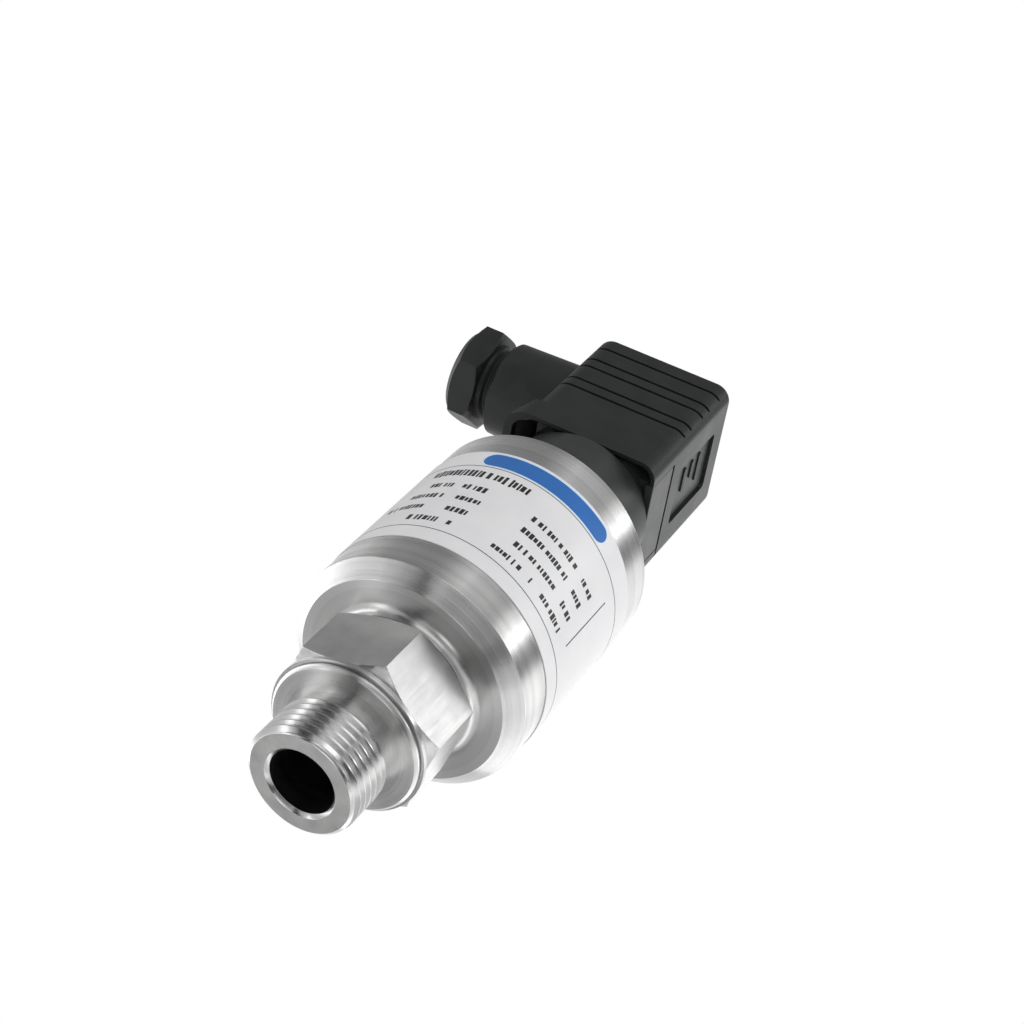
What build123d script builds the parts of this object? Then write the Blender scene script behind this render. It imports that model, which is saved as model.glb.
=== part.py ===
from build123d import *
import os
from math import cos, radians, sin, sqrt, tan

# Pressure transmitter with a threaded stainless port, a round body with a
# wrapped label, and a right-angle plug with a cable gland.
# Millimetres. +Z runs up the axis from the port to the plug, the origin is the
# centre of the collar's sealing face, and the cable gland points along -X.

# Process thread, M20 x 1.5, kept as a plain cylinder at its major diameter
thread_diameter = 20.0
spigot_length = 12.2
thread_chamfer = 0.8
undercut_depth = 1.05
undercut_length = 2.2
inlet_diameter = 11.8
inlet_chamfer = 0.6

# Collar: a sealing disc and a wider disc with a fine groove between them
sealing_disc_diameter = 27.2
sealing_disc_height = 0.9
sealing_disc_chamfer = 0.5
collar_groove_depth = 0.5
collar_groove_width = 0.3
collar_diameter = 28.4
collar_height = 2.2
collar_chamfer = 0.25

# Hexagon for the spanner
hexagon_across_flats = 27.0
hexagon_height = 13.5
hexagon_chamfer_height = 1.5
hexagon_face_step = 0.4
hexagon_corner_angle = 285.0

# Neck and the chamfered front of the body
neck_diameter = 27.0
neck_height = 1.8
neck_fillet = 1.4
body_diameter = 43.4
front_chamfer_width = 2.7
front_chamfer_height = 2.6
flange_height = 11.5

# Spigot of the port inside the tube
tube_wall = 2.2
tube_length = 34.7
tube_end_chamfer = 0.3
spigot_fit = 0.05
inner_spigot_height = 6.0
inner_spigot_chamfer = 0.6

# Lathe-cut rubber seals: width of the ring, depth and width of its groove
body_seal_width = 1.5
body_seal_groove_depth = 1.35
body_seal_groove_width = 2.0
body_seal_offset = 2.0

# Label film round the flange and tube
label_start = 9.5
label_length = 29.6
label_thickness = 0.15
label_stand_off = 0.02
label_seam_angle = 100.0
label_seam_width = 0.4

# Pressure cell
cell_diameter = 19.0
cell_height = 11.0
cell_floor_thickness = 2.5
pocket_fit = 0.05
cell_rim = 0.8
cell_recess_depth = 0.7
cell_back_rim = 3.0
cell_back_recess_depth = 1.0
cell_seal_width = 1.6
cell_seal_groove_depth = 1.5
cell_seal_groove_width = 2.2
cell_seal_offset = 3.4
diaphragm_thickness = 0.15
diaphragm_gap = 0.1
diaphragm_waves = 2
diaphragm_wave_height = 0.25
retainer_height = 3.5
retainer_width = 3.1
retainer_slot_width = 2.0
retainer_slot_depth = 1.2
pin_count = 5
pin_diameter = 0.5
pin_circle_radius = 3.2
pin_tail = 1.2

# Amplifier board on its three standoffs
standoff_count = 3
standoff_across_flats = 5.0
standoff_height = 8.0
standoff_inset = 3.2
standoff_first_angle = 90.0
board_clearance = 1.7
board_thickness = 1.6
screw_thread_diameter = 2.5
screw_length = 6.0
screw_head_diameter = 4.5
screw_head_height = 1.6
screw_slot_width = 0.6
screw_slot_depth = 0.7
screw_head_chamfer = 0.2
screw_fit = 0.05
board_hole_fit = 0.1
pin_hole_fit = 0.2
chip_length = 8.6
chip_width = 5.2
chip_height = 1.6
chip_corner_radius = 0.2
chip_inset = 8.8
capacitor_diameter = 4.0
capacitor_height = 5.2
capacitor_inset = 9.4
capacitor_spacing = 5.2
header_length = 12.0
header_width = 4.0
header_height = 3.2
header_inset = 2.3
wire_spacing = 3.6
wire_diameter = 1.2
wire_bend_radius = 1.6
wire_rise = 1.5
wire_drop = 2.2

# End cap, the nut under it and the seals
cap_thickness = 4.0
cap_fit = 0.05
cap_seal_width = 1.4
cap_seal_groove_depth = 1.25
cap_seal_groove_width = 1.8
stub_diameter = 22.0
stub_wall = 1.7
stub_fit = 0.05
base_nut_across_flats = 27.0
base_nut_height = 3.0
stub_overrun = 0.6
base_seal_width = 1.2
base_seal_groove_depth = 1.0
base_seal_groove_width = 1.6
base_seal_inset = 1.6

# Plug base: the round black neck and its contacts
plug_neck_diameter = 28.6
plug_neck_height = 15.9
plug_neck_edge = 0.4
plug_neck_wall = 2.8
plug_neck_roof = 5.0
plug_neck_ledge = 2.5
blade_circle_radius = 9.0
signal_blade_angles = [270.0, 0.0, 90.0]
earth_blade_angle = 180.0
blade_width = 6.3
blade_thickness = 0.8
blade_height = 8.2
blade_tail = 4.0
earth_blade_extra_height = 0.8
blade_tip_chamfer = 0.3
blade_slot_fit = 0.02
bush_wall = 1.1
bush_height = 9.0
bush_overrun = 1.6
bush_fit = 0.02
gasket_thickness = 1.0
gasket_hole_fit = 0.3

# Plug housing
housing_width = 27.8
housing_length = 27.8
housing_height = 32.8
housing_wall = 1.6
housing_roof = 2.6
housing_corner_radius = 3.2
housing_top_fillet = 0.7
housing_lead_in = 0.9
lead_in_angle = 45.0
lobe_reach = 3.0
lobe_height = 5.4
lobe_foot_height = 1.8
lobe_corner_radius = 4.6
lobe_back_slope = 0.2
groove_drops = [4.0, 8.55, 11.4, 16.35, 19.2]
groove_width = 0.6
groove_depth = 0.55
groove_end_inset = 0.5
groove_wrap = 1.1
panel_width = 12.6
panel_height = 15.4
panel_drop = 4.8
panel_depth = 0.8
panel_corner_radius = 0.8
window_width = 19.4
window_height = 9.2
screw_boss_wall = 1.7
screw_recess_clearance = 1.2
screw_sink = 1.0
screw_collar_wall = 1.6

# Terminal block in the plug
insert_clearance = 0.15
insert_height = 10.2
insert_corner_radius = 1.4
insert_corner_relief = 3.0
lip_gap = 0.6
lip_side_gap = 0.1
socket_wall = 0.6
socket_height = 7.0
socket_floor = 1.0
terminal_pad_thickness = 1.2
terminal_pad_margin = 0.7
terminal_screw_diameter = 3.0
terminal_screw_head_diameter = 4.6
terminal_screw_head_height = 1.8
terminal_screw_length = 5.0
terminal_screw_inset = 2.9

# Centre screw, M3
centre_screw_diameter = 3.0
centre_screw_reach = 6.5
centre_screw_head_diameter = 6.0
centre_screw_head_height = 2.4
centre_screw_slot_width = 0.8
centre_screw_slot_depth = 1.2
centre_screw_hole_fit = 0.2
screw_seal_thickness = 1.0

# Cable gland
gland_neck_diameter = 18.6
gland_neck_length = 14.4
gland_neck_edge = 0.5
gland_neck_draft = 0.5
gland_neck_wall = 1.65
gland_shank_fit = 0.05
gland_engagement = 5.7
cable_way_diameter = 9.0
grommet_length = 4.4
grommet_bore_diameter = 9.0
grommet_fit = 0.05
grommet_gap = 0.15
washer_thickness = 1.0
washer_bore_diameter = 9.0
washer_fit = 0.1
washer_gap = 0.05
gland_head_gap = 2.7
gland_head_length = 6.0
gland_head_across_flats = 18.0
gland_head_chamfer = 0.9
gland_head_slope = 30.0
gland_nut_bore_diameter = 8.6
gland_nut_mouth_chamfer = 0.8
gland_nut_corner_angle = 44.3

# Heights along the axis, all from the sealing face
hexagon_bottom = collar_height
neck_bottom = hexagon_bottom + hexagon_height
front_face = neck_bottom + neck_height
front_chamfer_top = front_face + front_chamfer_height
tube_bottom = front_face + flange_height
tube_top = tube_bottom + tube_length
port_top = tube_bottom + inner_spigot_height
cell_bottom = front_face + cell_floor_thickness
cell_top = cell_bottom + cell_height
retainer_top = cell_top + retainer_height
board_bottom = port_top + standoff_height
board_top = board_bottom + board_thickness
cap_bottom = tube_top - cap_thickness
base_nut_bottom = cap_bottom - base_nut_height
stub_bottom = base_nut_bottom - stub_overrun
plug_neck_top = tube_top + plug_neck_height
gasket_top = plug_neck_top + gasket_thickness
insert_top = gasket_top + insert_height
socket_bottom = gasket_top + socket_floor
socket_top = socket_bottom + socket_height
housing_top = plug_neck_top + housing_height
window_top = plug_neck_top + window_height
lip_top = window_top - lip_gap
gland_height = housing_top - gland_neck_diameter / 2
screw_recess_depth = screw_seal_thickness + centre_screw_head_height + screw_sink
screw_seat = housing_top - screw_recess_depth

# Widths and places that follow from the sizes above
body_radius = body_diameter / 2
tube_bore_radius = body_radius - tube_wall
cell_recess_diameter = cell_diameter - 2 * cell_rim
cell_back_recess_diameter = cell_diameter - 2 * cell_back_rim
board_radius = tube_bore_radius - board_clearance
standoff_circle_radius = board_radius - standoff_inset
stub_bore_diameter = stub_diameter - 2 * stub_wall
header_place_y = header_inset - stub_bore_diameter / 2
base_seal_circle_diameter = plug_neck_diameter - 2 * base_seal_inset
bush_diameter = centre_screw_diameter + 2 * bush_wall
all_blade_angles = signal_blade_angles + [earth_blade_angle]
centre_screw_hole = centre_screw_diameter + 2 * centre_screw_hole_fit
inner_length = housing_length - 2 * housing_wall
inner_width = housing_width - 2 * housing_wall
terminal_screw_radius = blade_circle_radius - terminal_screw_inset
terminal_pad_inner = terminal_screw_radius - terminal_screw_head_diameter / 2
terminal_pad_width = terminal_screw_head_diameter + 2 * terminal_pad_margin

# Places along the gland, measured from the main axis
gland_neck_reach = housing_length / 2 + gland_neck_length
gland_bore_diameter = gland_neck_diameter - 2 * gland_neck_wall
shank_start = gland_neck_reach - gland_engagement
washer_start = shank_start - washer_gap - washer_thickness
gland_seat = washer_start - grommet_gap - grommet_length
gland_head_start = gland_neck_reach + gland_head_gap
gland_head_end = gland_head_start + gland_head_length


def disc(diameter, bottom, top):
    """Round bar on the axis between two heights."""
    return Pos(0, 0, bottom) * Cylinder(
        diameter / 2, top - bottom, align=(Align.CENTER, Align.CENTER, Align.MIN)
    )


def ring(outer, inner, bottom, top):
    """Round tube on the axis between two heights."""
    return disc(outer, bottom, top) - disc(inner, bottom, top)


def turned(points):
    """Solid of revolution about the axis from a closed outline of radius and height."""
    outline = Polyline(*[(radius, 0, height) for radius, height in points], close=True)
    return revolve(make_face(outline), Axis.Z)


def rim_seal(bore_radius, floor_radius, middle, width):
    """Rubber ring of square section, pressed between a groove's floor and a bore."""
    return ring(2 * bore_radius, 2 * floor_radius, middle - width / 2, middle + width / 2)


def hexagon_bar(across_flats, bottom, top, corner_angle=0.0):
    """Hexagonal bar on the axis with one corner at the given angle."""
    outline = RegularPolygon(across_flats / sqrt(3), 6, rotation=corner_angle)
    return extrude(Pos(0, 0, bottom) * outline, top - bottom)


def around(count, radius, first_angle=0.0):
    """Places on a circle, each turned to face outwards."""
    step = 360 / count
    return [
        Rot(0, 0, first_angle + step * index) * Pos(radius, 0, 0) for index in range(count)
    ]


def block(length, width, bottom, top, corner_radius):
    """Upright block with rounded corners, centred on the axis."""
    return extrude(
        Pos(0, 0, bottom) * RectangleRounded(length, width, corner_radius), top - bottom
    )


def box_between(x_from, x_to, y_from, y_to, z_from, z_to):
    """Box given by its two corners."""
    size = (x_to - x_from, y_to - y_from, z_to - z_from)
    return Pos(x_from, y_from, z_from) * Box(
        *size, align=(Align.MIN, Align.MIN, Align.MIN)
    )


def slotted_screw(thread, length, head_diameter, head_height, slot_width, slot_depth):
    """Cheese-head screw standing with the underside of its head at height 0."""
    shank = disc(thread, -length, 0)
    head = disc(head_diameter, 0, head_height)
    head = chamfer(head.edges().group_by(Axis.Z)[-1], screw_head_chamfer)
    slot = box_between(
        -head_diameter, head_diameter, -slot_width / 2, slot_width / 2,
        head_height - slot_depth, head_height + slot_depth,
    )
    return shank + head - slot


def hexagon_of_port():
    """Spanner hexagon, turned down to a round face at both ends."""
    corner_radius = hexagon_across_flats / sqrt(3)
    face_radius = hexagon_across_flats / 2 - hexagon_face_step
    bar = hexagon_bar(
        hexagon_across_flats, hexagon_bottom, neck_bottom, hexagon_corner_angle
    )
    turned_down = turned([
        (0, hexagon_bottom),
        (face_radius, hexagon_bottom),
        (corner_radius, hexagon_bottom + hexagon_chamfer_height),
        (corner_radius, neck_bottom - hexagon_chamfer_height),
        (face_radius, neck_bottom),
        (0, neck_bottom),
    ])
    return bar & turned_down


def pressure_port():
    """Port turned from one bar, from the threaded tip to the spigot in the tube."""
    thread_radius = thread_diameter / 2
    undercut_radius = thread_radius - undercut_depth
    disc_radius = sealing_disc_diameter / 2
    groove_height = sealing_disc_height + collar_groove_width
    spigot = turned([
        (0, -spigot_length),
        (thread_radius - thread_chamfer, -spigot_length),
        (thread_radius, thread_chamfer - spigot_length),
        (thread_radius, -undercut_length - undercut_depth),
        (undercut_radius, -undercut_length),
        (undercut_radius, 0),
        (disc_radius - sealing_disc_chamfer, 0),
        (disc_radius, sealing_disc_chamfer),
        (disc_radius, sealing_disc_height),
        (disc_radius - collar_groove_depth, sealing_disc_height),
        (disc_radius - collar_groove_depth, groove_height),
        (collar_diameter / 2, groove_height),
        (collar_diameter / 2, collar_height - collar_chamfer),
        (collar_diameter / 2 - collar_chamfer, collar_height),
        (0, collar_height),
    ])
    spigot_radius = tube_bore_radius - spigot_fit
    groove_floor = spigot_radius - body_seal_groove_depth
    groove_bottom = tube_bottom + body_seal_offset
    groove_top = groove_bottom + body_seal_groove_width
    front = turned([
        (0, front_face),
        (body_radius - front_chamfer_width, front_face),
        (body_radius, front_chamfer_top),
        (body_radius, tube_bottom),
        (spigot_radius, tube_bottom),
        (spigot_radius, groove_bottom),
        (groove_floor, groove_bottom),
        (groove_floor, groove_top),
        (spigot_radius, groove_top),
        (spigot_radius, port_top - inner_spigot_chamfer),
        (spigot_radius - inner_spigot_chamfer, port_top),
        (0, port_top),
    ])
    neck = disc(neck_diameter, neck_bottom, front_face)
    joined = front + neck
    at_front_face = joined.edges().filter_by_position(Axis.Z, front_face, front_face)
    joined = fillet(at_front_face.sort_by(SortBy.RADIUS)[0], neck_fillet)
    port = spigot + hexagon_of_port() + joined
    port -= disc(inlet_diameter, -spigot_length, port_top)
    mouth = turned([
        (0, -spigot_length),
        (inlet_diameter / 2 + inlet_chamfer, -spigot_length),
        (inlet_diameter / 2, inlet_chamfer - spigot_length),
        (0, inlet_chamfer - spigot_length),
    ])
    pocket = disc(cell_diameter + 2 * pocket_fit, cell_bottom, port_top)
    port -= mouth + pocket
    for place in around(standoff_count, standoff_circle_radius, standoff_first_angle):
        port -= place * disc(
            screw_thread_diameter + 2 * screw_fit, port_top - screw_length, port_top
        )
    return port


def body_tube():
    """Tube between the port's flange and the end cap."""
    tube = ring(body_diameter, 2 * tube_bore_radius, tube_bottom, tube_top)
    rims = tube.edges().filter_by(GeomType.CIRCLE).group_by(Axis.Z)[-1]
    return chamfer(rims, tube_end_chamfer)


def body_seal():
    """Seal between the port's spigot and the tube."""
    groove_floor = tube_bore_radius - spigot_fit - body_seal_groove_depth
    middle = tube_bottom + body_seal_offset + body_seal_groove_width / 2
    return rim_seal(tube_bore_radius, groove_floor, middle, body_seal_width)


def label_wrap():
    """Printed film, wrapped round with a narrow butt seam at the back."""
    bottom = front_face + label_start
    inner = body_diameter + 2 * label_stand_off
    film = ring(inner + 2 * label_thickness, inner, bottom, bottom + label_length)
    seam = Rot(0, 0, label_seam_angle) * box_between(
        0, body_diameter, -label_seam_width / 2, label_seam_width / 2,
        bottom, bottom + label_length,
    )
    return film - seam


def sensor_cell():
    """Oil-filled pressure cell with a seal groove, recessed at front and back."""
    cell = disc(cell_diameter, cell_bottom, cell_top)
    cell -= disc(cell_recess_diameter, cell_bottom, cell_bottom + cell_recess_depth)
    cell -= disc(cell_back_recess_diameter, cell_top - cell_back_recess_depth, cell_top)
    groove_bottom = cell_bottom + cell_seal_offset
    cell -= ring(
        cell_diameter + cell_seal_width, cell_diameter - 2 * cell_seal_groove_depth,
        groove_bottom, groove_bottom + cell_seal_groove_width,
    )
    return cell


def sensor_diaphragm():
    """Thin corrugated disc that closes the front of the cell."""
    radius = cell_recess_diameter / 2 - diaphragm_gap
    base = cell_bottom + diaphragm_gap
    step = radius / (2 * diaphragm_waves + 1)
    lower = [(0, base)]
    for index in range(1, 2 * diaphragm_waves + 1):
        lift = diaphragm_wave_height if index % 2 == 0 else 0
        lower.append((step * index, base + lift))
    lower.append((radius, base))
    upper = [(reach, height + diaphragm_thickness) for reach, height in reversed(lower)]
    return turned(lower + upper)


def sensor_seal():
    """Seal round the pressure cell."""
    middle = cell_bottom + cell_seal_offset + cell_seal_groove_width / 2
    cell_radius = cell_diameter / 2
    floor = cell_radius - cell_seal_groove_depth
    return rim_seal(cell_radius + pocket_fit, floor, middle, cell_seal_width)


def cell_retainer():
    """Threaded ring that holds the cell down, with two slots for a pin spanner."""
    body = ring(cell_diameter, cell_diameter - 2 * retainer_width, cell_top, retainer_top)
    slot = box_between(
        -cell_diameter, cell_diameter, -retainer_slot_width / 2, retainer_slot_width / 2,
        retainer_top - retainer_slot_depth, retainer_top,
    )
    return body - slot


def sensor_pins():
    """Glass-sealed pins from the back of the cell up through the board."""
    foot = cell_top - cell_back_recess_depth
    pins = [
        place * disc(pin_diameter, foot, board_top + pin_tail)
        for place in around(pin_count, pin_circle_radius)
    ]
    return Compound(pins)


def board_standoffs():
    """Hexagonal pillars that carry the board."""
    pillars = []
    for place in around(standoff_count, standoff_circle_radius, standoff_first_angle):
        pillar = hexagon_bar(standoff_across_flats, port_top, board_bottom)
        pillar -= disc(screw_thread_diameter + 2 * screw_fit, port_top, board_bottom)
        pillars.append(place * pillar)
    return Compound(pillars)


def board_screws():
    """Cheese-head screws through the board and the pillars."""
    reach = board_top - port_top + screw_length - screw_head_height
    screw = slotted_screw(
        screw_thread_diameter, reach, screw_head_diameter,
        screw_head_height, screw_slot_width, screw_slot_depth,
    )
    places = around(standoff_count, standoff_circle_radius, standoff_first_angle)
    return Compound([Pos(0, 0, board_top) * place * screw for place in places])


def amplifier_board():
    """Round circuit board with its screw holes and pin holes."""
    board = disc(2 * board_radius, board_bottom, board_top)
    screw_hole = screw_thread_diameter + 2 * board_hole_fit
    for place in around(standoff_count, standoff_circle_radius, standoff_first_angle):
        board -= place * disc(screw_hole, board_bottom, board_top)
    for place in around(pin_count, pin_circle_radius):
        board -= place * disc(pin_diameter + 2 * pin_hole_fit, board_bottom, board_top)
    return board


def amplifier_chip():
    """Moulded chip on the board."""
    chip = Pos(chip_inset - board_radius, 0, 0) * block(
        chip_width, chip_length, board_top, board_top + chip_height, chip_corner_radius
    )
    return chip


def board_capacitors():
    """Round capacitors on the board."""
    cans = []
    for side in (-1, 1):
        can = disc(capacitor_diameter, board_top, board_top + capacitor_height)
        place = Pos(board_radius - capacitor_inset, side * capacitor_spacing / 2, 0)
        cans.append(place * can)
    return Compound(cans)


def wire_offsets():
    """Places of the wires along the header, the middle one at the centre."""
    return [-wire_spacing, 0.0, wire_spacing]


def wire_header():
    """Terminal strip that the signal wires are soldered into."""
    top = board_top + header_height
    return box_between(
        -header_length / 2, header_length / 2,
        header_place_y - header_width / 2, header_place_y + header_width / 2,
        board_top, top,
    )


def signal_wires():
    """Three wires from the header to the tails of the signal blades."""
    wires = []
    start_height = board_top + header_height
    turn_height = tube_top + plug_neck_ledge + wire_rise
    end_height = plug_neck_top - plug_neck_roof - blade_tail
    for offset, angle in zip(wire_offsets(), signal_blade_angles):
        goal_x = blade_circle_radius * cos(radians(angle))
        goal_y = blade_circle_radius * sin(radians(angle))
        path = FilletPolyline(
            (offset, header_place_y, start_height),
            (offset, header_place_y, turn_height),
            (goal_x, goal_y, end_height - wire_drop),
            (goal_x, goal_y, end_height),
            radius=wire_bend_radius,
        )
        section = Pos(offset, header_place_y, start_height) * Circle(wire_diameter / 2)
        wires.append(sweep(section, path=path))
    return Compound(wires)


def end_cap():
    """Lid screwed into the end of the tube, with a seal groove in its rim."""
    radius = tube_bore_radius - cap_fit
    middle = tube_top - cap_thickness / 2
    cap = ring(2 * radius, stub_diameter + 2 * stub_fit, cap_bottom, tube_top)
    groove = ring(
        2 * radius + cap_seal_width, 2 * (radius - cap_seal_groove_depth),
        middle - cap_seal_groove_width / 2, middle + cap_seal_groove_width / 2,
    )
    return cap - groove


def cap_seal():
    """Seal in the rim of the end cap."""
    floor = tube_bore_radius - cap_fit - cap_seal_groove_depth
    return rim_seal(tube_bore_radius, floor, tube_top - cap_thickness / 2, cap_seal_width)


def base_nut():
    """Nut on the stub of the plug base, under the end cap."""
    nut = hexagon_bar(base_nut_across_flats, base_nut_bottom, cap_bottom)
    return nut - disc(stub_diameter + 2 * stub_fit, base_nut_bottom, cap_bottom)


def base_seal():
    """Seal between the shoulder of the plug base and the end cap."""
    return ring(
        base_seal_circle_diameter + base_seal_width,
        base_seal_circle_diameter - base_seal_width,
        tube_top, tube_top + base_seal_groove_depth,
    )


def blade(width, height):
    """Flat contact blade with a thinned tip, standing on the top of the neck."""
    foot = plug_neck_top - plug_neck_roof - blade_tail
    tip = plug_neck_top + height
    bar = box_between(
        -blade_thickness / 2, blade_thickness / 2, -width / 2, width / 2, foot, tip
    )
    long_edges = bar.faces().sort_by(Axis.Z)[-1].edges().filter_by(Axis.Y)
    return chamfer(long_edges, blade_tip_chamfer)


def contact_pins():
    """The three signal blades."""
    pin = blade(blade_width, blade_height)
    return Compound([
        Rot(0, 0, angle) * Pos(blade_circle_radius, 0, 0) * pin
        for angle in signal_blade_angles
    ])


def earth_pin():
    """Longer earth blade on the gland side."""
    pin = blade(blade_width, blade_height + earth_blade_extra_height)
    return Rot(0, 0, earth_blade_angle) * Pos(blade_circle_radius, 0, 0) * pin


def blade_slots(bottom, top, fit, side_fit):
    """Slots for all four blades between two heights."""
    slots = []
    for angle in all_blade_angles:
        slot = box_between(
            -blade_thickness / 2 - fit, blade_thickness / 2 + fit,
            -blade_width / 2 - side_fit, blade_width / 2 + side_fit, bottom, top,
        )
        slots.append(Rot(0, 0, angle) * Pos(blade_circle_radius, 0, 0) * slot)
    return slots


def plug_base():
    """Round neck moulded round the contacts, with a hollow threaded stub below."""
    roof_bottom = plug_neck_top - plug_neck_roof
    neck = disc(plug_neck_diameter, tube_top, plug_neck_top)
    neck = chamfer(neck.edges().group_by(Axis.Z)[-1], plug_neck_edge)
    base = neck + disc(stub_diameter, stub_bottom, tube_top)
    base -= disc(stub_bore_diameter, stub_bottom, tube_top)
    neck_bore_diameter = plug_neck_diameter - 2 * plug_neck_wall
    base -= disc(neck_bore_diameter, tube_top + plug_neck_ledge, roof_bottom)
    base -= disc(stub_bore_diameter, tube_top, roof_bottom)
    groove_middle = base_seal_circle_diameter
    base -= ring(
        groove_middle + base_seal_groove_width, groove_middle - base_seal_groove_width,
        tube_top, tube_top + base_seal_groove_depth,
    )
    for slot in blade_slots(roof_bottom, plug_neck_top, blade_slot_fit, blade_slot_fit):
        base -= slot
    bush_bottom = plug_neck_top + bush_overrun - bush_height
    base -= disc(bush_diameter + 2 * bush_fit, bush_bottom, plug_neck_top)
    return base


def thread_bush():
    """Brass insert in the middle of the plug base, threaded for the centre screw."""
    top = plug_neck_top + bush_overrun
    return ring(
        bush_diameter, centre_screw_diameter + 2 * bush_fit, top - bush_height, top
    )


def flat_gasket():
    """Flat rubber gasket between the plug base and the terminal block."""
    length = inner_length - 2 * insert_clearance
    width = inner_width - 2 * insert_clearance
    gasket = block(length, width, plug_neck_top, gasket_top, insert_corner_radius)
    gasket -= disc(bush_diameter + 2 * gasket_hole_fit, plug_neck_top, gasket_top)
    for slot in blade_slots(plug_neck_top, gasket_top, gasket_hole_fit, gasket_hole_fit):
        gasket -= slot
    round_limit = disc(plug_neck_diameter - plug_neck_edge, plug_neck_top, gasket_top)
    return gasket & round_limit


def socket_outer():
    """Outer thickness and width of one spring socket."""
    thickness = blade_thickness + 2 * blade_slot_fit + 2 * socket_wall
    width = blade_width + 2 * blade_slot_fit + 2 * socket_wall
    return thickness, width


def terminal_insert():
    """Moulded block that holds the sockets, with a lip that fills the end window."""
    length = inner_length - 2 * insert_clearance
    width = inner_width - 2 * insert_clearance
    body = block(length, width, gasket_top, insert_top, insert_corner_radius)
    relief_top = gasket_top + insert_corner_relief
    relief = block(length, width, gasket_top, relief_top, insert_corner_radius)
    body -= relief - disc(plug_neck_diameter - plug_neck_edge, gasket_top, relief_top)
    lip_side = window_width / 2 - lip_side_gap
    body += box_between(0, housing_length / 2, -lip_side, lip_side, gasket_top, lip_top)
    body += box_between(
        inner_length / 2, housing_length / 2, -lip_side, lip_side,
        plug_neck_top + lip_side_gap, gasket_top,
    )
    body -= disc(bush_diameter + 2 * gasket_hole_fit, gasket_top, gasket_top + bush_overrun)
    body -= disc(centre_screw_hole, gasket_top, insert_top)
    thickness, width = socket_outer()
    pad_half = terminal_pad_width / 2 + insert_clearance
    for angle in all_blade_angles:
        turn = Rot(0, 0, angle)
        body -= turn * Pos(blade_circle_radius, 0, 0) * box_between(
            -thickness / 2 - insert_clearance, thickness / 2 + insert_clearance,
            -width / 2 - insert_clearance, width / 2 + insert_clearance,
            socket_bottom, insert_top,
        )
        body -= turn * Pos(blade_circle_radius, 0, 0) * box_between(
            -blade_thickness / 2 - gasket_hole_fit, blade_thickness / 2 + gasket_hole_fit,
            -blade_width / 2 - gasket_hole_fit, blade_width / 2 + gasket_hole_fit,
            gasket_top, socket_bottom,
        )
        body -= turn * box_between(
            terminal_pad_inner - insert_clearance, blade_circle_radius,
            -pad_half, pad_half, socket_top, insert_top,
        )
        body -= turn * Pos(terminal_screw_radius, 0, 0) * disc(
            terminal_screw_diameter + 2 * screw_fit,
            socket_top - terminal_screw_length, socket_top,
        )
    return body


def one_socket():
    """Spring socket for a blade with the clamping pad of its terminal."""
    thickness, width = socket_outer()
    shell = Pos(blade_circle_radius, 0, 0) * box_between(
        -thickness / 2, thickness / 2, -width / 2, width / 2, socket_bottom, socket_top
    )
    shell -= Pos(blade_circle_radius, 0, 0) * box_between(
        -blade_thickness / 2 - blade_slot_fit, blade_thickness / 2 + blade_slot_fit,
        -blade_width / 2 - blade_slot_fit, blade_width / 2 + blade_slot_fit,
        socket_bottom, socket_top,
    )
    pad_top = socket_top + terminal_pad_thickness
    pad = box_between(
        terminal_pad_inner, blade_circle_radius + thickness / 2,
        -terminal_pad_width / 2, terminal_pad_width / 2, socket_top, pad_top,
    )
    hole = Pos(terminal_screw_radius, 0, 0) * disc(
        terminal_screw_diameter + 2 * screw_fit, socket_top, pad_top
    )
    return shell + pad - hole


def socket_contacts():
    """The four spring sockets."""
    socket = one_socket()
    return Compound([Rot(0, 0, angle) * socket for angle in all_blade_angles])


def terminal_screws():
    """Screws that clamp the wires onto the socket pads."""
    seat = socket_top + terminal_pad_thickness
    screw = slotted_screw(
        terminal_screw_diameter, terminal_screw_length, terminal_screw_head_diameter,
        terminal_screw_head_height, screw_slot_width, screw_slot_depth,
    )
    return Compound([
        Rot(0, 0, angle) * Pos(terminal_screw_radius, 0, seat) * screw
        for angle in all_blade_angles
    ])


def along_gland(solid):
    """Lays a solid built up the axis along the gland, which points along -X."""
    return Pos(0, 0, gland_height) * Rot(0, -90, 0) * solid


def housing_outline(inset, extra_reach):
    """Plan of the housing, inset all round; the gland side may reach further out."""
    radius = (lobe_corner_radius if extra_reach else housing_corner_radius) - inset
    length = housing_length + extra_reach - 2 * inset
    width = housing_width - 2 * inset
    return Pos(-extra_reach / 2, 0, 0) * RectangleRounded(length, width, radius)


def lobe(inset, bottom):
    """Foot that swells out under the gland, with a hollow curve on its back."""
    back = -housing_length / 2 + inset
    tip = back - lobe_reach
    foot_top = bottom + lobe_foot_height
    crown = bottom + lobe_height
    side = make_face([
        Line((0, 0, bottom), (tip, 0, bottom)),
        Line((tip, 0, bottom), (tip, 0, foot_top)),
        TangentArc((tip, 0, foot_top), (back, 0, crown), tangent=(1, 0, lobe_back_slope)),
        Line((back, 0, crown), (0, 0, crown)),
        Line((0, 0, crown), (0, 0, bottom)),
    ])
    slab = extrude(side, housing_width / 2, both=True)
    plan = Pos(0, 0, bottom) * housing_outline(inset, lobe_reach)
    return slab & extrude(plan, lobe_height)


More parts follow.
